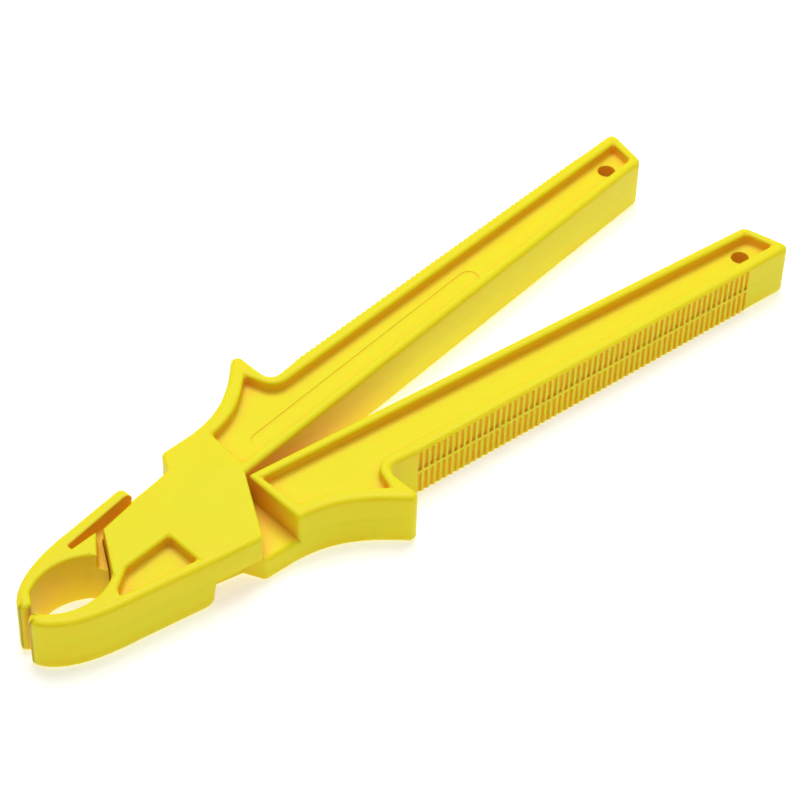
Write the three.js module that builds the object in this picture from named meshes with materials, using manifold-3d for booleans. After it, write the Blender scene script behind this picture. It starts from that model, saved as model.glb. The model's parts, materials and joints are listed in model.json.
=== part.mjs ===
// A non-conductive fuse puller in moulded plastic: two half-lapped levers that cross at one pivot, and the headed
// pin that they turn on.
//
// Both levers share one moulded form, but for the jaw's tip and the pin's holes. It is drawn in its own frame: the
// pivot is at the origin, the centre line of the closed tool is the X axis, the handle runs out along +X on the +Y
// side, and the jaw runs out along -X on the -Y side. The upper lever stands as drawn. The lower lever is the same
// form turned over about X.

import * as THREE from 'three';
import { mergeVertices } from 'three/addons/utils/BufferGeometryUtils.js';
import Module from 'manifold-3d';

// Driving dimensions, in millimetres.

const thickness = 12.7;         // the whole tool, and each lever away from the lap
const lapGap = 0.3;             // between the two lapped plates
const runningGap = 0.4;         // between a plate's edge and the recess that it turns in
const frontGap = 0.3;           // the same at the plate's front edge
const pocketDepth = 2.65;       // the cored-out pockets, from the face that they are in
const grooveDepth = 3.6;        // the groove in the jaw's lower face
const rimWidth = 2.4;           // wall left round a handle's pocket
const curveSteps = 10;          // straight steps in each curved stretch of an outline

const handleReach = 148.4;      // pivot to the outer corner of the handle's end
const endLean = 2.7;            // how much further the end's outer corner reaches than its inner one
const endRound = 2.7;           // rounding of the end's outer corner, along each edge
const endInnerRound = 1.6;      // the same for its inner corner
const crotchReach = 14.1;       // pivot to the crotch between the handles
const crotchGap = 0.3;          // centre line to the handle's inner edge, at the crotch
const handleSlope = 0.1142;     // rise of the handle's inner edge along X
const gripStart = 43.5;         // pivot to the first rib of the grip
const gripRootWidth = 14.75;    // the handle across, at the first rib
const gripEndWidth = 11.25;     // the handle across, at its end
const panelStart = 22;          // sunk marking panel in the upper pocket's floor: pivot to its near end
const panelLength = 71;
const panelWidth = 4.4;
const panelInset = 3.4;         // that panel's edge from the handle's inner edge
const panelDepth = 0.2;
const lanyardRadius = 1.95;     // hole through the handle's web
const lanyardInset = 9;         // that hole's centre, back from the handle's end

const guardReach = 35;          // pivot to the finger guard's tip
const guardRise = 9.7;          // guard's tip above the handle's outer edge
const guardBack = 0.9;          // guard's square back, past its tip
const guardTipRadius = 1.5;     // the tip's rounding
const guardRoot = 39;           // where the guard's back has run out into the handle

const headHalf = 15.6;          // centre line to the plates' outer edges
const neckReach = 5.4;          // pivot to the outer corner of the neck
const neckCut = 2.3;            // how far that corner's flank slants back
const neckStep = 4.3;           // how far that flank comes in to the plate's inner edge
const plateTaper = 0.2015;      // how that edge closes in towards the jaw, along X
const plateNose = 16.5;         // pivot to the plate's front corner
const tailReach = 4.8;          // pivot to the plate's rear corner
const shoulderLean = 0.4;       // how much the shoulder slants back over the width of the head

const jawReach = 42.1;          // pivot to the jaw's tip
const tipGap = 0.6;             // centre line to the tip's inner face
const tipLength = 1.6;          // the tip's inner face, along X
const tipRound = 2.3;           // rounding of the tip's corner, along each edge
const mouthRadius = 12.2;       // the jaw's inner curve
const mouthReach = 30.4;        // pivot to that curve's centre, along X
const mouthRise = 6.35;         // centre line to that curve's centre
const throatReach = 22.4;       // pivot to where that curve meets the plate's front edge
const skirtReach = 5.9;         // pivot to the full-depth end of the jaw
const skirtInset = 1.5;         // how much the jaw is narrower there than the head
const skirtRadius = 2.4;        // rounding of that end's corner, seen from the side
const cheekReach = 22.5;        // pivot to where the jaw's outer edge starts to curve in
const cheekHalf = 11.5;         // centre line to that point
const jawPocketBack = 8.2;      // pivot to the square end of the jaw's upper pocket
const jawPocketTop = 2.7;       // centre line to that pocket's inner corner
const jawPocketNose = 25.1;     // pivot to that pocket's far corner
const grooveNose = 24.4;        // pivot to the far end of the groove in the jaw's lower face
const grooveWidth = 1.9;        // that groove across
const islandReach = 21.9;       // pivot to the rear end of the jaw's face beside the groove
const islandLean = 4;           // how much further back that end is at the groove than at the mouth
const lowerTipSlim = 0.7;       // how much slimmer the lower lever's jaw is at its tip

const pinRadius = 3;            // pivot pin's shank
const pinHeadLip = 2.2;         // pivot pin's head, past its shank all round
const pinHeadHeight = 1.9;
const pinHeadInset = 0.4;       // the head sits this far below the lower plate's outer face
const boreGap = 0.06;           // shank to the bore that turns on it, on the radius
const seatGap = 0.03;           // shank to the blind socket that holds it, on the radius
const headGap = 0.3;            // head to its counterbore, all round and above
const socketRoof = 2.2;         // material left over the blind socket
const roundSteps = 48;          // sides of a round hole or shank

// Shapes of the freely curved stretches, in millimetres from the sizes above.

const pocketRim = {             // the handle's pocket
  front: 1.7,                   // wall left behind the shoulder
  end: 1.6,                     // wall left at the handle's end
  endSlant: 1.3,                // how much the pocket's end follows the handle's slanted one
  outer: 0.5,                   // how much wider its outer rim is
  curveStart: 5,                // from the grip's start to where the rim turns out into the guard
  curveTurn: 8,
  curveEnd: 9.3,
  noseInset: 2.2,               // the pocket's nose inside the guard's tip
  noseRise: 4.2,
  nosePull: 5,
  noseDrop: 4.3,
  neckPull: 8.5,
  neckDrop: 1.2,
  neckInset: 1,
  neckDepth: 2.5,
};
const guardCurve = {            // the guard's back and front
  rootDip: 0.3,
  backHollow: 0.6,
  backRise: 3,
  tipPull: 8,
  tipRise: 4.9,
  neckPull: 8.5,
  neckRise: 0.6,
  neckRun: 7.6,
  neckDip: 0.3,
  neckSwell: 0.6,               // how far it stands out past the head there
};
const jawCurve = {              // the jaw's outer edge between tip and cheek
  tipPull: 3,
  tipDrop: 6,
  cheekPull: 7,
  cheekDrop: 0.8,
};
const jawPocketAngles = [43, 67];   // stretch of the mouth that the jaw's upper pocket follows, in degrees
const jawRims = [0.1, 0.3];     // how much wider the jaw's outer rim is, above and below
const grooveTaper = 0.6;        // how much narrower the groove's blind end is
const noseRun = 2;              // how far the groove's cut passes the plate's front corner
const lanyardShift = 0.3;       // lanyard hole from the middle of the handle

const leverColour = 0xe9df33;
const pinColour = 0xd9d6cc;

const plateThickness = (thickness - lapGap) / 2;
const plateHalf = headHalf - neckStep;
const skirtHalf = headHalf - skirtInset;
const pinHeadRadius = pinRadius + pinHeadLip;
const plateBottom = thickness - plateThickness;
const over = 1;                 // how far a cutting solid runs past the face that it cuts

const wasm = await Module();
wasm.setup();

// Solids.

function solidOf(geometry) {
  geometry.deleteAttribute('normal');
  geometry.deleteAttribute('uv');
  const merged = mergeVertices(geometry, 1e-5);
  const vertProperties = new Float32Array(merged.attributes.position.array);
  const triVerts = new Uint32Array(merged.index.array);
  return new wasm.Manifold(new wasm.Mesh({ numProp: 3, vertProperties, triVerts }));
}

function geometryOf(solid) {
  const mesh = solid.getMesh();
  const geometry = new THREE.BufferGeometry();
  geometry.setAttribute('position', new THREE.BufferAttribute(mesh.vertProperties, 3));
  geometry.setIndex(new THREE.BufferAttribute(mesh.triVerts, 1));
  return geometry;
}

function prism(shape, bottom, top) {
  const options = { depth: top - bottom, bevelEnabled: false, curveSegments: curveSteps };
  const geometry = new THREE.ExtrudeGeometry(shape, options);
  geometry.translate(0, 0, bottom);
  return solidOf(geometry);
}

function rod(radius, x, y, bottom, top) {
  const geometry = new THREE.CylinderGeometry(radius, radius, top - bottom, roundSteps);
  geometry.rotateX(Math.PI / 2);
  geometry.translate(x, y, (bottom + top) / 2);
  return solidOf(geometry);
}

function polygon(points) {
  return new THREE.Shape(points.map(([x, y]) => new THREE.Vector2(x, y)));
}

// The handle's two long edges.

function innerEdge(x) {
  return crotchGap + (x - crotchReach) * handleSlope;
}

function outerEdge(x) {
  const share = (x - gripStart) / (handleReach - gripStart);
  return innerEdge(x) + gripRootWidth + share * (gripEndWidth - gripRootWidth);
}

// The plate's inner edge, which runs from the neck to the front corner. It is on the +Y side.

function plateEdge(x) {
  return plateHalf + (x - (neckReach - neckCut)) * plateTaper;
}

// The shoulder is the wall behind the head that the other lever's plate stops against.

function shoulderX(y) {
  return crotchReach - shoulderLean * (y - crotchGap) / headHalf;
}

// Angle, seen from the centre of the mouth's curve, of the curve's point at x.

function mouthAngle(x) {
  return -Math.acos((x + mouthReach) / mouthRadius);
}

function mouthEdge(x) {
  return mouthRise + mouthRadius * Math.sin(mouthAngle(x));
}

// Outline of one lever, with its plate.

function leverOutline(tipSlim) {
  const outline = new THREE.Shape();
  outline.moveTo(crotchReach, crotchGap);
  handleEdges(outline);
  guardAndNeck(outline);
  plateFront(outline);
  jawEdges(outline, tipSlim);
  outline.lineTo(tailReach, -headHalf);
  outline.closePath();
  return outline;
}

function handleEdges(outline) {
  const innerEnd = handleReach - endLean;
  const lean = endLean / (outerEdge(handleReach) - innerEdge(innerEnd));
  const endEdge = (y) => innerEnd + (y - innerEdge(innerEnd)) * lean;
  const endInner = innerEdge(innerEnd) + endInnerRound;
  const endOuter = outerEdge(handleReach) - endRound;
  outline.lineTo(innerEnd - endInnerRound, innerEdge(innerEnd - endInnerRound));
  outline.quadraticCurveTo(innerEnd, innerEdge(innerEnd), endEdge(endInner), endInner);
  outline.lineTo(endEdge(endOuter), endOuter);
  const after = handleReach - endRound;
  outline.quadraticCurveTo(handleReach, outerEdge(handleReach), after, outerEdge(after));
  outline.lineTo(gripStart, outerEdge(gripStart));
}

function guardAndNeck(outline) {
  const curve = guardCurve;
  const back = guardReach + guardBack;
  const tip = outerEdge(guardReach) + guardRise;
  const neckEnd = neckReach + curve.neckRun;
  const neckHalf = headHalf + curve.neckSwell;
  outline.lineTo(guardRoot, outerEdge(guardRoot) - curve.rootDip);
  outline.quadraticCurveTo(back, outerEdge(back) - curve.backHollow, back, outerEdge(back) + curve.backRise);
  outline.absarc(back - guardTipRadius, tip - guardTipRadius, guardTipRadius, 0, Math.PI * 0.75, false);
  outline.bezierCurveTo(
    guardReach - curve.tipPull, headHalf + curve.tipRise,
    neckEnd + curve.neckPull, neckHalf + curve.neckRise,
    neckEnd, neckHalf,
  );
  outline.lineTo(neckReach, neckHalf - curve.neckDip);
}

function plateFront(outline) {
  outline.lineTo(neckReach - neckCut, plateHalf);
  outline.lineTo(-plateNose, plateEdge(-plateNose));
}

function jawEdges(outline, tipSlim) {
  const curve = jawCurve;
  const end = tipSlim - jawReach;
  const tipInner = end + tipRound;
  const tipOuter = -tipGap - tipRound;
  const fromAngle = mouthAngle(-throatReach);
  const toAngle = mouthAngle(tipInner + tipLength);
  outline.absarc(-mouthReach, mouthRise, mouthRadius, fromAngle, toAngle, true);
  outline.lineTo(tipInner, -tipGap);
  outline.quadraticCurveTo(end, -tipGap, end, tipOuter + tipSlim / 2);
  outline.bezierCurveTo(
    end + curve.tipPull, tipOuter + tipSlim - curve.tipDrop,
    -cheekReach - curve.cheekPull, curve.cheekDrop - cheekHalf,
    -cheekReach, -cheekHalf,
  );
  outline.lineTo(-skirtReach, -skirtHalf);
}

// The space that the other lever's plate turns in, cut from the lower half of the form. Its edges are the other
// plate's, moved out by the running gap: the shoulder, the end of the jaw's skirt and the seat along the jaw.

function lapWindow() {
  const far = 2 * headHalf;
  const seat = (x) => -plateEdge(x) - runningGap;
  const frontRise = -mouthEdge(-throatReach) + plateEdge(-plateNose);
  const frontLean = (throatReach - plateNose) / frontRise;
  const frontX = -plateNose - frontGap * Math.hypot(1, frontLean);
  const front = (y) => frontX - (y + plateEdge(-plateNose)) * frontLean;
  return polygon([
    [shoulderX(-far), -far],
    [shoulderX(far), far],
    [front(headHalf), far],
    [front(headHalf), headHalf],
    [front(seat(-plateNose)), seat(-plateNose)],
    [-skirtReach, seat(-skirtReach)],
    [-skirtReach, -far],
  ]);
}

// The jaw's outer edge between its cheek and its skirt. It is on the -Y side.

function cheekEdge(x) {
  return cheekHalf + (x + cheekReach) * (skirtHalf - cheekHalf) / (cheekReach - skirtReach);
}

// Pockets. The handle has the same one in both faces. The jaw has a four-sided one in its upper face, and in its
// lower face a groove inside the outer rim that opens into the space beside the other lever's plate.

function handlePocket() {
  const rim = pocketRim;
  const front = (y) => shoulderX(y) + rim.front;
  const outer = (x) => outerEdge(x) - rimWidth - rim.outer;
  const start = innerEdge(front(0)) + rimWidth;
  const end = handleReach - endLean - rim.end;
  const turn = gripStart - rim.curveStart;
  const root = gripStart - rim.curveTurn;
  const nose = guardReach - rim.noseInset;
  const noseTop = outerEdge(guardReach) + rim.noseRise;
  const shape = new THREE.Shape();
  shape.moveTo(front(start), start);
  shape.lineTo(end, innerEdge(end) + rimWidth);
  shape.lineTo(end + rim.endSlant, outer(end + rim.endSlant));
  shape.lineTo(turn, outer(turn));
  shape.quadraticCurveTo(root, outer(root), gripStart - rim.curveEnd, outerEdge(root));
  shape.lineTo(nose, noseTop);
  shape.bezierCurveTo(
    nose - rim.nosePull, noseTop - rim.noseDrop,
    nose - rim.neckPull, headHalf - rim.neckDrop,
    front(headHalf) + rim.neckInset, headHalf - rim.neckDepth,
  );
  shape.closePath();
  return shape;
}

// A point of the curve that is one rim's width outside the mouth, at an angle below the X axis.

function mouthRim(degrees) {
  const angle = THREE.MathUtils.degToRad(-degrees);
  const radius = mouthRadius + rimWidth;
  return [-mouthReach + radius * Math.cos(angle), mouthRise + radius * Math.sin(angle)];
}

function jawPocketAbove() {
  const rim = (x) => rimWidth + jawRims[0] - cheekEdge(x);
  return polygon([
    [-jawPocketBack, -jawPocketTop],
    ...jawPocketAngles.map(mouthRim),
    [-jawPocketNose, rim(-jawPocketNose)],
    [-jawPocketBack, rim(-jawPocketBack)],
  ]);
}

function jawGrooveBelow() {
  const rim = (x) => rimWidth + jawRims[1] - cheekEdge(x);
  const back = over - skirtReach;
  const island = islandLean - islandReach;
  const inner = mouthEdge(-islandReach);
  const islandSlope = (inner - rim(island) - grooveWidth) / islandLean;
  return polygon([
    [-grooveNose, rim(-grooveNose)],
    [back, rim(back)],
    [back, over - plateEdge(back)],
    [noseRun - plateNose, noseRun - plateEdge(-plateNose)],
    [noseRun - throatReach, over],
    [-islandReach - over, inner + over * islandSlope],
    [island, rim(island) + grooveWidth],
    [-grooveNose, rim(-grooveNose) + grooveWidth - grooveTaper],
  ]);
}

// The blank marking panel, sunk in the floor of the handle's upper pocket, with rounded ends.

function markingPanel() {
  const end = panelLength / 2 - panelWidth / 2;
  const shape = new THREE.Shape();
  shape.absarc(end, 0, panelWidth / 2, -Math.PI / 2, Math.PI / 2, false);
  shape.absarc(-end, 0, panelWidth / 2, Math.PI / 2, Math.PI * 1.5, false);
  const middle = panelStart + panelLength / 2;
  const floor = thickness - pocketDepth;
  return prism(shape, floor - panelDepth, thickness)
    .rotate([0, 0, THREE.MathUtils.radToDeg(Math.atan(handleSlope))])
    .translate([middle, innerEdge(middle) + panelInset + panelWidth / 2, 0]);
}

// What is cut away to round the lower rear corner of the jaw's skirt, seen from the side.

function skirtCorner() {
  const corner = new THREE.Shape();
  corner.moveTo(-skirtReach - skirtRadius, -over);
  corner.lineTo(-skirtReach - skirtRadius, 0);
  corner.absarc(-skirtReach - skirtRadius, skirtRadius, skirtRadius, -Math.PI / 2, 0, false);
  corner.lineTo(-skirtReach + over, skirtRadius);
  corner.lineTo(-skirtReach + over, -over);
  return prism(corner, 0, 2 * headHalf).rotate([90, 0, 0]);
}

// One lever, as drawn: the pin's holes and the jaw's tip are what differs between the two.

function leverForm(tipSlim) {
  const whole = prism(leverOutline(tipSlim), 0, thickness);
  const hole = handleReach - lanyardInset;
  const middle = (innerEdge(hole) + outerEdge(hole)) / 2 - lanyardShift;
  return whole
    .subtract(prism(lapWindow(), -over, plateBottom))
    .subtract(prism(handlePocket(), thickness - pocketDepth, thickness + over))
    .subtract(prism(handlePocket(), -over, pocketDepth))
    .subtract(prism(jawPocketAbove(), thickness - pocketDepth, thickness + over))
    .subtract(prism(jawGrooveBelow(), -over, grooveDepth))
    .subtract(skirtCorner())
    .subtract(markingPanel())
    .subtract(rod(lanyardRadius, hole, middle, 0, thickness));
}

function mesh(name, solid, material) {
  const result = new THREE.Mesh(geometryOf(solid), material);
  result.name = name;
  return result;
}

const leverPlastic = new THREE.MeshStandardMaterial({ color: leverColour, roughness: 0.42, metalness: 0 });
const pinPlastic = new THREE.MeshStandardMaterial({ color: pinColour, roughness: 0.35, metalness: 0 });

function upperLever() {
  const socket = rod(pinRadius + seatGap, 0, 0, plateBottom - over, thickness - socketRoof);
  return mesh('upper_lever', leverForm(0).subtract(socket), leverPlastic);
}

function lowerLever() {
  const bore = rod(pinRadius + boreGap, 0, 0, plateBottom - over, thickness + over);
  const headTop = pinHeadInset + pinHeadHeight + headGap;
  const counterbore = rod(pinHeadRadius + headGap, 0, 0, thickness - headTop, thickness + over);
  const form = leverForm(lowerTipSlim).subtract(bore).subtract(counterbore);
  const lever = mesh('lower_lever', form, leverPlastic);
  lever.rotation.x = Math.PI;
  lever.position.z = thickness;
  return lever;
}

function pivotPin() {
  const headTop = pinHeadInset + pinHeadHeight;
  const shankTop = thickness - socketRoof - headGap;
  const head = rod(pinHeadRadius, 0, 0, pinHeadInset, headTop);
  return mesh('pivot_pin', head.add(rod(pinRadius, 0, 0, pinHeadInset + over / 2, shankTop)), pinPlastic);
}

// The tool lies flat, with the middle of its box's underside at the origin.

const tool = new THREE.Group();
tool.add(lowerLever(), upperLever(), pivotPin());
tool.position.x = (jawReach - handleReach) / 2;

export default tool;
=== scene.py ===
import json
import math

import bmesh
import bpy
from mathutils import Matrix, Vector


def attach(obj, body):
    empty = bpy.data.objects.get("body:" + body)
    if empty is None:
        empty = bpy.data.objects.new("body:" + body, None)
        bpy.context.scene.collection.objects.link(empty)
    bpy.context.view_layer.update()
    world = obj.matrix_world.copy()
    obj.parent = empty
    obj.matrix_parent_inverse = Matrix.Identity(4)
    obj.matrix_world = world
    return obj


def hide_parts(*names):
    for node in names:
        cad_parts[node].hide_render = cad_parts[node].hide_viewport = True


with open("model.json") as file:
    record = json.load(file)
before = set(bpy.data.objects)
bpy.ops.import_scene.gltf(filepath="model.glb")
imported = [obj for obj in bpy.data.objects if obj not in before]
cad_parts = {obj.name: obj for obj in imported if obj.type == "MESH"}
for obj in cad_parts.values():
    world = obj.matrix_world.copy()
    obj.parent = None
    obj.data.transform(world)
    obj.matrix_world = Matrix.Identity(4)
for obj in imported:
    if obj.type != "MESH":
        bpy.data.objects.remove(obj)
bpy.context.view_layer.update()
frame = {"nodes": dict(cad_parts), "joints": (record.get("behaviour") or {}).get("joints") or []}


# The upper lever. One injection moulding in yellow nylon: the handle, the finger guard, the blank half-lapped
# plate over the pivot and the near jaw. Every edge is radiused in the mould, the outer ones most. The pivot pin
# holds it to the lower lever.

PIVOT = Vector(frame["joints"][0]["pos_m"])
THICKNESS = 12.7                # millimetres, as are all the sizes that follow
TO_METRES = 0.001

# Radii of the mould's edges.
OUTER_RADIUS = 1.2              # round the outside of the handle, neck and jaw
MOUTH_RADIUS = 0.75             # along the mouth and the plate's inner edge
REAR_RADIUS = 0.45              # along the plate's rear edge
SHOULDER_RADIUS = 0.8           # along the shoulder behind the other lever's plate
FRONT_RADIUS = 0.3              # along the plate's front edge, where the other jaw closes up to it
GRIP_RADIUS = 0.75              # along the ribbed wall, on the blank side
LAP_RADIUS = 0.3                # edges inside the lap
FRONT_EDGE_RADIUS = 0.12        # the same where the other plate's front edge lies close
CORNER_RADIUS = 0.9             # upright outer corners
RIM_RADIUS = 0.8                # a pocket's upper edge
FLOOR_RADIUS = 0.6              # a pocket's floor
POCKET_CORNER_RADIUS = 1.0      # a pocket's upright corners
GROOVE_RIM_RADIUS = 0.6         # the groove in the jaw's lower face
PANEL_RADIUS = 0.09             # the marking panel's edge
HOLE_RADIUS = 0.22              # the lanyard hole and the pin's holes
RADIUS_STEPS = 4
ROUND = 0.5                     # a bevel's profile that is an arc

# Where the mould's features lie, so that each edge gets its own radius.
POCKET_DEPTH = 2.65
GROOVE_FLOOR = 3.6
PANEL_DEPTH = 0.2
SKIRT_END = -5.9                # the rounded lower corner of the jaw's skirt
SKIRT_RADIUS = 2.4
SKIRT_OUTSIDE = -12.5
SKIRT_ROOM = 0.1
SHOULDER = (12, 15)
FRONT = (-23.5, -15.5)
NECK = Vector((5.6, 15.2))
PLATE_SIDE = 15
TIP_FACE = -38.6
PIN_ROOM = 6.2                  # everything nearer than this to the pivot belongs to the pin's holes
LANYARD = Vector((139.4, 19.7))
LANYARD_ROOM = 2.6
HARD_ANGLE = math.radians(25)   # an edge that turns less than this is part of a curve
SOFT_ANGLE = math.radians(50)   # an edge of the finished skin that turns more than this stays crisp
FLAT_ANGLE = math.radians(0.6)

# How square to an axis a wall stands, as a share of its normal.
MAINLY = 0.5
PARTLY = 0.3
SLIGHTLY = 0.2
SQUARELY = 0.9
NEARLY = 0.8
LEVEL = 0.9999

# Allowances, in millimetres, when places are compared.
NEAR = 0.02
CLOSE = 0.01
HAIR = 0.002
DUST = 0.001
STEP = 0.5


def lever_frame(turned_over):
    """Takes the lever's place in the tool to its own frame: millimetres from the pivot, blank face up."""
    matrix = Matrix.Scale(1 / TO_METRES, 4) @ Matrix.Translation(-PIVOT)
    if turned_over:
        matrix = Matrix.Translation((0, 0, THICKNESS)) @ Matrix.Rotation(math.pi, 4, "X") @ matrix
    return matrix


def merged_copy(node, matrix):
    """The solid's mesh as one closed skin of large flat faces."""
    skin = bmesh.new()
    skin.from_mesh(frame["nodes"][node].data)
    bmesh.ops.transform(skin, matrix=matrix, verts=skin.verts)
    bmesh.ops.remove_doubles(skin, verts=skin.verts, dist=HAIR)
    bmesh.ops.dissolve_degenerate(skin, edges=skin.edges, dist=DUST)
    bmesh.ops.dissolve_limit(
        skin, angle_limit=FLAT_ANGLE, use_dissolve_boundaries=False, verts=skin.verts, edges=skin.edges,
    )
    return skin


def wall_height(face):
    heights = [vert.co.z for vert in face.verts]
    return max(heights) - min(heights)


def outline_radius(place, outward):
    """The radius where the outline's wall meets a face of the moulding."""
    if SHOULDER[0] < place.x < SHOULDER[1] and outward.x < -SQUARELY:
        return SHOULDER_RADIUS
    if 0 < place.x < SHOULDER[1] and outward.y < -PARTLY and outward.x > PARTLY:
        return REAR_RADIUS
    if FRONT[0] < place.x < FRONT[1] and outward.x < -NEARLY:
        return FRONT_RADIUS
    if TIP_FACE < place.x < NECK.x and place.y < NECK.y and outward.y > SLIGHTLY:
        return MOUTH_RADIUS
    return OUTER_RADIUS


def edge_radius(edge):
    """The mould's radius along an edge, or nothing where the skin only curves."""
    if len(edge.link_faces) != 2 or edge.calc_face_angle() < HARD_ANGLE:
        return 0
    middle = (edge.verts[0].co + edge.verts[1].co) / 2
    upright = abs(edge.verts[0].co.z - edge.verts[1].co.z) > STEP
    convex = edge.is_convex
    walls = [face for face in edge.link_faces if abs(face.normal.z) < MAINLY]
    if not walls:
        return LAP_RADIUS
    if middle.xy.length < PIN_ROOM or (middle.xy - LANYARD).length < LANYARD_ROOM:
        return HOLE_RADIUS
    by_skirt_end = SKIRT_END - SKIRT_RADIUS - SKIRT_ROOM < middle.x < SKIRT_END + SKIRT_ROOM
    if by_skirt_end and (upright or middle.z < SKIRT_RADIUS) and middle.y < SKIRT_OUTSIDE:
        return OUTER_RADIUS
    if by_skirt_end and middle.z < SKIRT_RADIUS:
        return 0
    height = min(wall_height(face) for face in walls)
    if height < PANEL_DEPTH + NEAR:
        return PANEL_RADIUS
    if abs(height - GROOVE_FLOOR) < NEAR and middle.z < GROOVE_FLOOR + NEAR:
        return GROOVE_RIM_RADIUS
    if height < POCKET_DEPTH + NEAR:
        if upright:
            return LAP_RADIUS if convex else POCKET_CORNER_RADIUS
        return RIM_RADIUS if convex else FLOOR_RADIUS
    if middle.z < CLOSE and middle.x < SKIRT_END and height < THICKNESS / 2 + STEP:
        return GROOVE_RIM_RADIUS
    in_front = FRONT[0] < middle.x < FRONT[1] and abs(middle.y) < NECK.y
    if upright:
        return (FRONT_RADIUS if in_front else CORNER_RADIUS) if convex else LAP_RADIUS
    if min(middle.z, THICKNESS - middle.z) > CLOSE:
        if middle.y > PLATE_SIDE and convex:
            return OUTER_RADIUS
        return FRONT_EDGE_RADIUS if in_front else LAP_RADIUS
    return outline_radius(middle, walls[0].normal)


def radiused(skin):
    """The same skin with its edges rounded, as a new bmesh."""
    weight = skin.edges.layers.float.new("bevel_weight_edge")
    for edge in skin.edges:
        edge[weight] = edge_radius(edge) / OUTER_RADIUS
    mesh = bpy.data.meshes.new("lever_before_rounding")
    skin.to_mesh(mesh)
    skin.free()
    rough = bpy.data.objects.new("lever_before_rounding", mesh)
    bpy.context.scene.collection.objects.link(rough)
    bevel = rough.modifiers.new("rounding", "BEVEL")
    bevel.limit_method = "WEIGHT"
    bevel.width = OUTER_RADIUS
    bevel.segments = RADIUS_STEPS
    bevel.profile = ROUND
    bevel.use_clamp_overlap = False
    bevel.loop_slide = False
    rounded = bpy.data.meshes.new_from_object(rough.evaluated_get(bpy.context.evaluated_depsgraph_get()))
    bpy.data.objects.remove(rough)
    bpy.data.meshes.remove(mesh)
    result = bmesh.new()
    result.from_mesh(rounded)
    bpy.data.meshes.remove(rounded)
    fill_flats(result)
    return result


def fill_flats(skin):
    """Lays each flat level of the skin again between its own outlines."""
    levels = {}
    for face in skin.faces:
        if abs(face.normal.z) > LEVEL and wall_height(face) < HAIR:
            level = round(face.calc_center_median().z / CLOSE)
            levels.setdefault((level, face.normal.z > 0), []).append(face)
    for (level, upward), faces in levels.items():
        flat = set(faces)
        edges = {edge for face in faces for edge in face.edges}
        outline = [edge for edge in edges if len([face for face in edge.link_faces if face in flat]) == 1]
        inner = [edge for edge in edges if all(face in flat for face in edge.link_faces)]
        bmesh.ops.delete(skin, geom=faces, context="FACES_ONLY")
        bmesh.ops.delete(skin, geom=inner, context="EDGES")
        bmesh.ops.triangle_fill(skin, edges=outline, use_beauty=True, normal=(0, 0, 1 if upward else -1))


# The upper lever's grip. Ribs run across the outer wall of the handle, from face to face, with a narrow strip
# along the mould's parting line. They are what is left between square grooves, so their crests are flush with
# the wall.

RIBS = 59
RIB_PITCH = 1.57
GRIP_START = Vector((43.5, 18.408, 0))
GRIP_DIRECTION = Vector((104.9, 8.479, 0)).normalized()
OUTWARD = Vector((-GRIP_DIRECTION.y, GRIP_DIRECTION.x, 0))
GROOVE_DEPTH = 0.55
RUN_OUT_START = 0.95            # the grooves end in round tips this far short of the grooved face
RUN_OUT = 0.6
GROOVE_PROFILE = (              # along one pitch, share of the pitch and of the depth
    (0.02, 0),
    (0.27, 0),
    (0.33, 0.16),
    (0.40, 1),
    (0.89, 1),
    (0.96, 0.16),
)
STRIP_HALF = 0.32               # the parting strip's crest, each way from mid-thickness
STRIP_FLANK = 0.12              # over which the grooves reach full depth beside it
FACING = 0.08                   # least share of a grip face's normal that points out of the wall
BEYOND = 200                    # further along than the handle reaches, either way


def grip_faces(skin, start, end):
    faces = []
    for face in skin.faces:
        place = face.calc_center_median() - GRIP_START
        along = place.dot(GRIP_DIRECTION)
        by_wall = abs(place.dot(OUTWARD)) < OUTER_RADIUS and face.normal.dot(OUTWARD) > FACING
        if start < along < end and by_wall:
            faces.append(face)
    return faces


def cut(skin, faces, point, normal):
    parts = set(faces)
    for face in faces:
        parts.update(face.edges)
        parts.update(face.verts)
    bmesh.ops.bisect_plane(skin, geom=list(parts), dist=DUST / 2, plane_co=point, plane_no=normal)


def groove_share(z):
    by_strip = min(1, max(0, abs(z - THICKNESS / 2) - STRIP_HALF) / STRIP_FLANK)
    by_face = min(1, max(0, z - RUN_OUT_START) / RUN_OUT)
    return by_strip * math.sin(by_face * math.pi / 2)


def crest_inset(z):
    """How far a crest lies inside the plain wall: it runs out to the blank face with a small radius."""
    below = THICKNESS - z
    if z < THICKNESS / 2:
        return OUTER_RADIUS
    if below > GRIP_RADIUS:
        return 0
    return GRIP_RADIUS - math.sqrt(GRIP_RADIUS ** 2 - (GRIP_RADIUS - below) ** 2)


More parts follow.
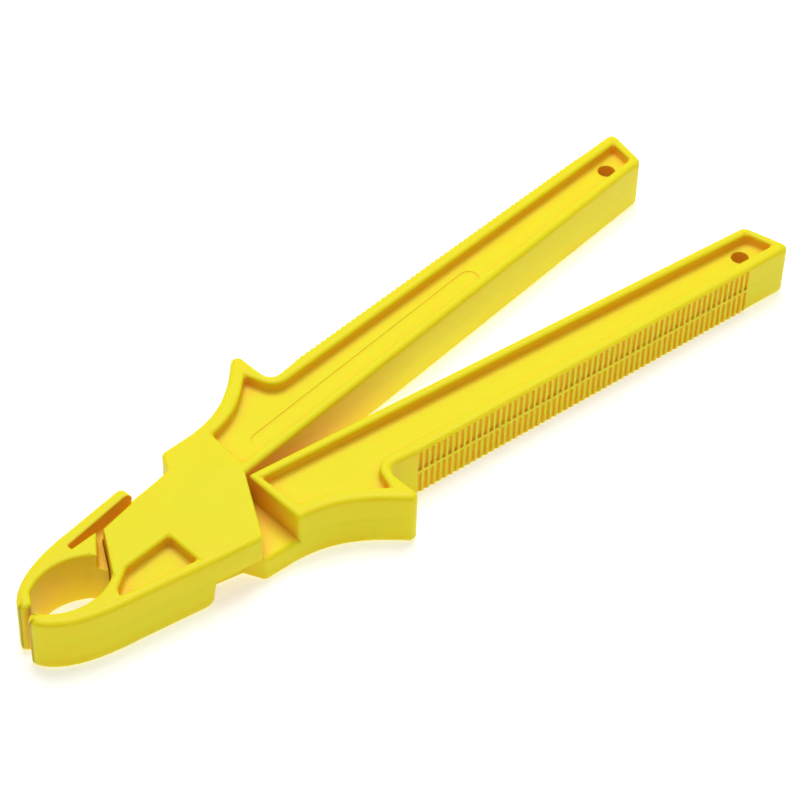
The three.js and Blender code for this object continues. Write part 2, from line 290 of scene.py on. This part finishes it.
def cut_grooves(skin):
    length = RIBS * RIB_PITCH
    for along in (0, length):
        cut(skin, grip_faces(skin, -BEYOND, BEYOND), GRIP_START + GRIP_DIRECTION * along, GRIP_DIRECTION)
    levels = [RUN_OUT_START + RUN_OUT]
    for height in (STRIP_HALF, STRIP_HALF + STRIP_FLANK):
        levels += [THICKNESS / 2 - height, THICKNESS / 2 + height]
    for level in levels:
        cut(skin, grip_faces(skin, 0, length), Vector((0, 0, level)), Vector((0, 0, 1)))
    faces = grip_faces(skin, 0, length)
    long_edges = set()
    for face in faces:
        for edge in face.edges:
            on_face = min(edge.verts[0].co.z, THICKNESS - edge.verts[0].co.z) < CLOSE
            if edge.calc_length() > length - RIB_PITCH and not on_face:
                long_edges.add(edge)
    cuts = RIBS * len(GROOVE_PROFILE) - 1
    bmesh.ops.subdivide_edges(skin, edges=list(long_edges), cuts=cuts, use_grid_fill=True)
    verts = set()
    for face in grip_faces(skin, 0, length):
        verts.update(face.verts)
    step = RIB_PITCH / len(GROOVE_PROFILE)
    for vert in verts:
        place = vert.co - GRIP_START
        number = round(place.dot(GRIP_DIRECTION) / step)
        if not 0 < number < RIBS * len(GROOVE_PROFILE):
            continue
        rib, part = divmod(number, len(GROOVE_PROFILE))
        share, depth = GROOVE_PROFILE[part]
        along = (rib + share) * RIB_PITCH - place.dot(GRIP_DIRECTION)
        own = -place.dot(OUTWARD)
        inward = max(min(own, crest_inset(vert.co.z)), depth * groove_share(vert.co.z) * GROOVE_DEPTH)
        vert.co += GRIP_DIRECTION * along + OUTWARD * (own - inward)


def lever(node, name, turned_over):
    matrix = lever_frame(turned_over)
    skin = radiused(merged_copy(node, matrix))
    cut_grooves(skin)
    bmesh.ops.transform(skin, matrix=matrix.inverted(), verts=skin.verts)
    for face in skin.faces:
        face.smooth = True
    for edge in skin.edges:
        edge.smooth = len(edge.link_faces) == 2 and edge.calc_face_angle() < SOFT_ANGLE
    mesh = bpy.data.meshes.new(name)
    skin.to_mesh(mesh)
    skin.free()
    piece = bpy.data.objects.new(name, mesh)
    bpy.context.scene.collection.objects.link(piece)
    normals = piece.modifiers.new("flat faces stay flat", "WEIGHTED_NORMAL")
    normals.keep_sharp = True
    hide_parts(node)
    return piece


upper = lever("upper_lever", "upper_lever_moulding", False)
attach(upper, "upper_arm")

# The levers' plastic. It is yellow all through and a little translucent, with a fine spark-eroded texture. The
# mould's walls were milled in level passes, and its halves met at mid-thickness, so both leave lines round every
# wall.

# Painted shade: the base colour is painted amber in hollows, across the mouth and between the handles, where
# shade falls.
YELLOW_DEEP = (0.92, 0.80, 0.010, 1)
YELLOW_PALE = (0.915, 0.83, 0.013, 1)
YELLOW_PAINTED_SHADE = (0.92, 0.56, 0.04, 1)    # painted shade: the amber colour painted into hollows in place of their shade
YELLOW_ROUGHNESS = 0.45
YELLOW_SHINE = 0.2
PAINTED_SHADE_REACH = 0.0035            # metres of reach for the painted shade in hollows
MOUTH_PAINTED_SHADE_REACH = 0.014             # metres of reach for the painted shade across the mouth and between the handles
PAINTED_SHADE_FULL = 0.2                # openness at which the painted shade is full, and at which it starts
PAINTED_SHADE_START = 0.75
PAINTED_SHADE_RAYS = 8
GLOW_SHARE = 0.7
GLOW_DEPTH = 0.0025             # metres that light travels inside the plastic, and its share for each colour
GLOW_COLOURS = (1.0, 0.3, 0.06)
CLOUD_SIZE = 0.018              # metres from one slightly paler patch to the next
CLOUD_DETAIL = 3
GRAIN_SIZE = 0.00022            # metres, as are the sizes that follow
GRAIN_HEIGHT = 0.00002
GRAIN_DETAIL = 2
GRAIN_ROUGHNESS = 0.05          # how much rougher or smoother the grain makes the surface
TOOL_LINE_SIZE = 0.0009
TOOL_LINE_HEIGHT = 0.00012
PARTING_LINE_WIDTH = 0.00016
PARTING_LINE_HEIGHT = 0.00015


def moulded_plastic(name, deep, pale, hollow_painted_shade, roughness):
    """A procedural moulded plastic: clouded colour, painted shade in its hollows, fine grain and the level lines
    that the mould leaves.
    """
    material = bpy.data.materials.new(name)
    material.use_nodes = True
    nodes = material.node_tree.nodes
    link = material.node_tree.links.new
    shader = nodes["Principled BSDF"]
    place = nodes.new("ShaderNodeTexCoord")

    clouds = nodes.new("ShaderNodeTexNoise")
    clouds.inputs["Scale"].default_value = 1 / CLOUD_SIZE
    clouds.inputs["Detail"].default_value = CLOUD_DETAIL
    link(place.outputs["Object"], clouds.inputs["Vector"])
    tint = nodes.new("ShaderNodeMix")
    tint.data_type = "RGBA"
    tint.inputs["A"].default_value = deep
    tint.inputs["B"].default_value = pale
    link(clouds.outputs["Fac"], tint.inputs["Factor"])
    # Painted shade: ambient occlusion at two reaches, multiplied, mixes the colour towards the hollow colour
    # where walls hem the surface in.
    painted_shade_openness = nodes.new("ShaderNodeMath")
    painted_shade_openness.operation = "MULTIPLY"
    for number, reach in enumerate((PAINTED_SHADE_REACH, MOUTH_PAINTED_SHADE_REACH)):
        shade = nodes.new("ShaderNodeAmbientOcclusion")
        shade.samples = PAINTED_SHADE_RAYS
        shade.inputs["Distance"].default_value = reach
        link(shade.outputs["AO"], painted_shade_openness.inputs[number])
    painted_shade_ramp = nodes.new("ShaderNodeMapRange")
    painted_shade_ramp.inputs["From Min"].default_value = PAINTED_SHADE_FULL
    painted_shade_ramp.inputs["From Max"].default_value = PAINTED_SHADE_START
    link(painted_shade_openness.outputs["Value"], painted_shade_ramp.inputs["Value"])
    painted_shade = nodes.new("ShaderNodeMix")
    painted_shade.data_type = "RGBA"
    painted_shade.inputs["A"].default_value = hollow_painted_shade
    link(painted_shade_ramp.outputs["Result"], painted_shade.inputs["Factor"])
    link(tint.outputs["Result"], painted_shade.inputs["B"])
    link(painted_shade.outputs["Result"], shader.inputs["Base Color"])

    grain = nodes.new("ShaderNodeTexNoise")
    grain.inputs["Scale"].default_value = 1 / GRAIN_SIZE
    grain.inputs["Detail"].default_value = GRAIN_DETAIL
    link(place.outputs["Object"], grain.inputs["Vector"])
    gloss = nodes.new("ShaderNodeMapRange")
    gloss.inputs["To Min"].default_value = roughness - GRAIN_ROUGHNESS
    gloss.inputs["To Max"].default_value = roughness + GRAIN_ROUGHNESS
    link(grain.outputs["Fac"], gloss.inputs["Value"])
    link(gloss.outputs["Result"], shader.inputs["Roughness"])

    heights = nodes.new("ShaderNodeSeparateXYZ")
    link(place.outputs["Object"], heights.inputs["Vector"])
    passes = nodes.new("ShaderNodeTexNoise")
    passes.noise_dimensions = "1D"
    passes.inputs["Scale"].default_value = 1 / TOOL_LINE_SIZE
    passes.inputs["Detail"].default_value = GRAIN_DETAIL
    link(heights.outputs["Z"], passes.inputs["W"])
    parting = nodes.new("ShaderNodeMath")
    parting.operation = "COMPARE"
    parting.inputs[1].default_value = THICKNESS / 2 * TO_METRES
    parting.inputs[2].default_value = PARTING_LINE_WIDTH / 2
    link(heights.outputs["Z"], parting.inputs[0])

    relief = None
    for texture, output, height in (
        (grain, "Fac", GRAIN_HEIGHT),
        (passes, "Fac", TOOL_LINE_HEIGHT),
        (parting, "Value", PARTING_LINE_HEIGHT),
    ):
        bump = nodes.new("ShaderNodeBump")
        bump.inputs["Distance"].default_value = height
        link(texture.outputs[output], bump.inputs["Height"])
        if relief:
            link(relief.outputs["Normal"], bump.inputs["Normal"])
        relief = bump
    link(relief.outputs["Normal"], shader.inputs["Normal"])
    return material


yellow = moulded_plastic("yellow_moulded_nylon", YELLOW_DEEP, YELLOW_PALE, YELLOW_PAINTED_SHADE, YELLOW_ROUGHNESS)
glow = yellow.node_tree.nodes["Principled BSDF"]
glow.inputs["Specular IOR Level"].default_value = YELLOW_SHINE
glow.inputs["Subsurface Weight"].default_value = GLOW_SHARE
glow.inputs["Subsurface Scale"].default_value = GLOW_DEPTH
glow.inputs["Subsurface Radius"].default_value = GLOW_COLOURS
upper.data.materials.append(yellow)


# The lower lever. The same moulding turned over, so its ribbed handle lies on the other side and its grooved
# face is the one that shows. Its plate is bored through and counterbored for the pin, and its jaw is slimmer at
# the tip.

lower = lever("lower_lever", "lower_lever_moulding", True)
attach(lower, "lower_arm")
lower.data.materials.append(yellow)


# The pivot pin. A moulded pin in natural nylon with a low round head, pressed up from below into the upper
# plate's blind socket. The head sits in the lower plate's counterbore, with the dimple of its gate in the middle.

PIN_RADIUS = 3
PIN_TIP = 10.2
PIN_TIP_SLOPE = 0.5
HEAD_RADIUS = 5.2
HEAD_FACE = 0.4
HEAD_HEIGHT = 1.9
DIMPLE_RADIUS = 1.1
DIMPLE_DEPTH = 0.3
PIN_SIDES = 64
HEAD_RIM_RADIUS = 0.45
PIN_CRISP_ANGLE = math.radians(40)
NYLON_DEEP_AND_PAINTED_SHADE = (0.70, 0.64, 0.50, 1)
NYLON_PALE = (0.78, 0.74, 0.62, 1)
NYLON_ROUGHNESS = 0.35
NYLON_GLOW_SHARE = 0.5

pin_skin = bmesh.new()
profile = [
    (0, HEAD_FACE + DIMPLE_DEPTH),
    (DIMPLE_RADIUS, HEAD_FACE + DIMPLE_DEPTH),
    (DIMPLE_RADIUS + DIMPLE_DEPTH, HEAD_FACE),
    (HEAD_RADIUS, HEAD_FACE),
    (HEAD_RADIUS, HEAD_FACE + HEAD_HEIGHT),
    (PIN_RADIUS, HEAD_FACE + HEAD_HEIGHT),
    (PIN_RADIUS, PIN_TIP - PIN_TIP_SLOPE),
    (PIN_RADIUS - PIN_TIP_SLOPE, PIN_TIP),
    (0, PIN_TIP),
]
points = [pin_skin.verts.new((radius, 0, height)) for radius, height in profile]
outline = [pin_skin.edges.new(pair) for pair in zip(points, points[1:])]
bmesh.ops.spin(
    pin_skin, geom=points + outline, axis=(0, 0, 1), cent=(0, 0, 0),
    angle=math.tau, steps=PIN_SIDES, use_merge=True,
)
bmesh.ops.remove_doubles(pin_skin, verts=pin_skin.verts, dist=DUST)
bmesh.ops.recalc_face_normals(pin_skin, faces=pin_skin.faces)
rim = [
    edge for edge in pin_skin.edges
    if all(abs(vert.co.xy.length - HEAD_RADIUS) < CLOSE for vert in edge.verts)
    and abs(edge.verts[0].co.z - edge.verts[1].co.z) < CLOSE
]
bmesh.ops.bevel(
    pin_skin, geom=rim, offset=HEAD_RIM_RADIUS, affect="EDGES",
    segments=RADIUS_STEPS, profile=ROUND, material=-1,
)
bmesh.ops.transform(
    pin_skin, matrix=Matrix.Translation(PIVOT) @ Matrix.Scale(TO_METRES, 4), verts=pin_skin.verts,
)
for face in pin_skin.faces:
    face.smooth = True
for edge in pin_skin.edges:
    edge.smooth = edge.calc_face_angle() < PIN_CRISP_ANGLE
pin_mesh = bpy.data.meshes.new("pivot_pin_moulding")
pin_skin.to_mesh(pin_mesh)
pin_skin.free()
pin = bpy.data.objects.new("pivot_pin_moulding", pin_mesh)
bpy.context.scene.collection.objects.link(pin)
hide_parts("pivot_pin")
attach(pin, "upper_arm")

# Painted shade: the pin's hollows are painted its deep tone, which is also the deeper of its clouded tones.
nylon = moulded_plastic("natural_nylon", NYLON_DEEP_AND_PAINTED_SHADE, NYLON_PALE, NYLON_DEEP_AND_PAINTED_SHADE, NYLON_ROUGHNESS)
nylon.node_tree.nodes["Principled BSDF"].inputs["Subsurface Weight"].default_value = NYLON_GLOW_SHARE
nylon.node_tree.nodes["Principled BSDF"].inputs["Subsurface Scale"].default_value = GLOW_DEPTH
pin_mesh.materials.append(nylon)


# The table, the light and the camera. A white paper floor that is lit a little from behind, so the tool's shadow
# is faint, under a white room and one large round softbox. The camera looks along the tool from above the jaws.
# The floor stays out of the occlusion rays that paint shade into the tool's hollows, so the painted shade is the
# same when the tool is held up.

FLOOR_HALF = 3                  # metres, as are the sizes that follow
FLOOR_DROP = 0.0001
PAPER_WHITE = (0.82, 0.82, 0.82, 1)
PAPER_ROUGHNESS = 0.9
PAPER_GLOW = 0.5
ROOM_LIGHT = 0.24
WHITE = (1, 1, 1, 1)
SOFTBOX_WIDTH = 0.8
SOFTBOX_WATTS = 9.4
SOFTBOX_PLACE = (0.2, 0.25, 1.0)
LENS = 128.14                   # millimetres, as is the film
FILM_WIDTH = 36
CAMERA_PLACE = (-0.29916, -0.30484, 0.41303)
CAMERA_DEGREES = (46.5003, -1.3703, -43.4709)

floor_mesh = bpy.data.meshes.new("floor")
floor_skin = bmesh.new()
bmesh.ops.create_grid(floor_skin, x_segments=1, y_segments=1, size=FLOOR_HALF)
floor_skin.to_mesh(floor_mesh)
floor_skin.free()
floor = bpy.data.objects.new("floor", floor_mesh)
floor.location.z = -FLOOR_DROP
bpy.context.scene.collection.objects.link(floor)
floor.visible_shadow = False
paper = bpy.data.materials.new("white_paper")
paper.use_nodes = True
paper_shader = paper.node_tree.nodes["Principled BSDF"]
paper_shader.inputs["Base Color"].default_value = PAPER_WHITE
paper_shader.inputs["Roughness"].default_value = PAPER_ROUGHNESS
paper_shader.inputs["Emission Color"].default_value = WHITE
paper_shader.inputs["Emission Strength"].default_value = PAPER_GLOW
floor.data.materials.append(paper)

world = bpy.data.worlds.new("studio")
world.use_nodes = True
world.node_tree.nodes["Background"].inputs["Color"].default_value = WHITE
world.node_tree.nodes["Background"].inputs["Strength"].default_value = ROOM_LIGHT
bpy.context.scene.world = world

softbox = bpy.data.lights.new("softbox", "AREA")
softbox.shape = "DISK"
softbox.size = SOFTBOX_WIDTH
softbox.energy = SOFTBOX_WATTS
lamp = bpy.data.objects.new("softbox", softbox)
lamp.location = SOFTBOX_PLACE
lamp.rotation_euler = (Vector((0, 0, 0)) - lamp.location).to_track_quat("-Z", "Y").to_euler()
bpy.context.scene.collection.objects.link(lamp)

camera_data = bpy.data.cameras.new("camera")
camera_data.lens = LENS
camera_data.sensor_width = FILM_WIDTH
camera = bpy.data.objects.new("camera", camera_data)
camera.location = CAMERA_PLACE
camera.rotation_euler = [math.radians(angle) for angle in CAMERA_DEGREES]
bpy.context.scene.collection.objects.link(camera)
bpy.context.scene.camera = camera
bpy.context.scene.view_settings.view_transform = "Standard"
